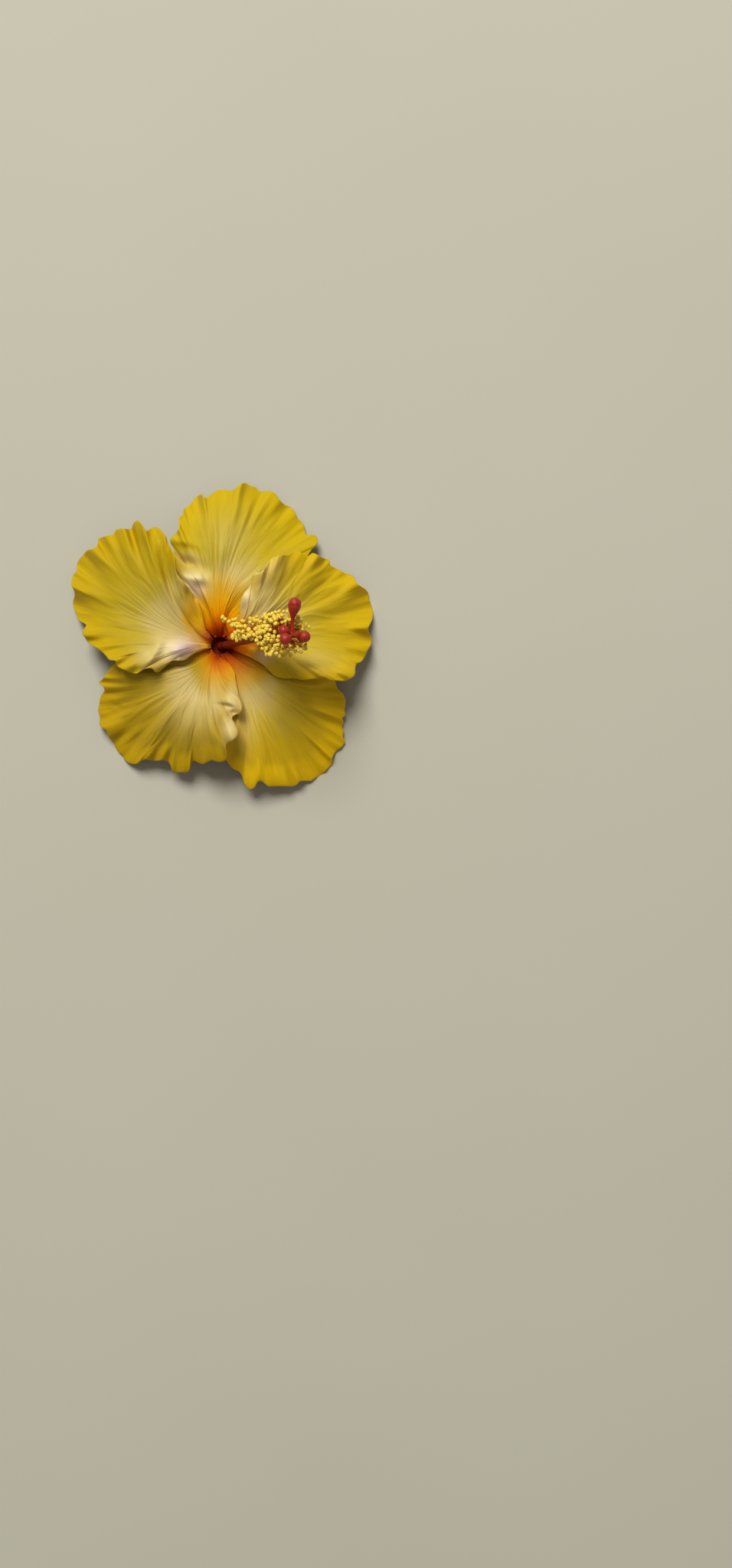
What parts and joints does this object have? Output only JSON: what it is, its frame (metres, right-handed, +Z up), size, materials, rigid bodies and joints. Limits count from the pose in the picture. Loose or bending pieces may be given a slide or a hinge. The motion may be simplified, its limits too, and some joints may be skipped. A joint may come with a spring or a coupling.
{
  "type": "hibiscus flower",
  "caption": "Open ruffled yellow hibiscus flower with overlapping petals, a red throat, a leaning column of stamens and red stigmas, lying face up.",
  "frame": {"origin": "bottom centre of the bounding box, on the surface that the flower lies on", "axes": "+Z up out of the face of the flower, +Y towards the upper petal, +X the way that the staminal column leans"},
  "size_m": [0.1132, 0.1144, 0.0623],
  "materials": {
    "petal": "satin living petal: yellow outer part, cream middle, orange to dark red throat, fine radial veins",
    "column": "smooth waxy dark red",
    "stamen": "thin orange-red filaments with powdery yellow anthers",
    "stigma": "velvety deep red",
    "calyx": "matte leaf green with fine ribs",
    "bract": "matte leaf green"
  },
  "bodies": {
    "root": {"petal_top": "petal", "petal_left": "petal", "petal_right": "petal", "petal_lower_left": "petal", "petal_lower_right": "petal", "staminal_column": "column", "stamens_01": "stamen", "stamens_02": "stamen", "stamens_03": "stamen", "stamens_04": "stamen", "stamens_05": "stamen", "stamens_06": "stamen", "stamens_07": "stamen", "stamens_08": "stamen", "stamens_09": "stamen", "stamens_10": "stamen", "stamens_11": "stamen", "stamens_12": "stamen", "stamens_13": "stamen", "stamens_14": "stamen", "stamens_15": "stamen", "stamens_16": "stamen", "stamens_17": "stamen", "stamens_18": "stamen", "stamens_19": "stamen", "stamens_20": "stamen", "stamens_21": "stamen", "stamens_22": "stamen", "stamens_23": "stamen", "stamens_24": "stamen", "stamens_25": "stamen", "stamens_26": "stamen", "stamens_27": "stamen", "stamens_28": "stamen", "stamens_29": "stamen", "style": "stigma", "stigma_1": "stigma", "stigma_2": "stigma", "stigma_3": "stigma", "stigma_4": "stigma", "stigma_5": "stigma", "calyx": "calyx", "bract_1": "bract", "bract_2": "bract", "bract_3": "bract", "bract_4": "bract", "bract_5": "bract", "bract_6": "bract", "bract_7": "bract"}
  },
  "joints": []
}
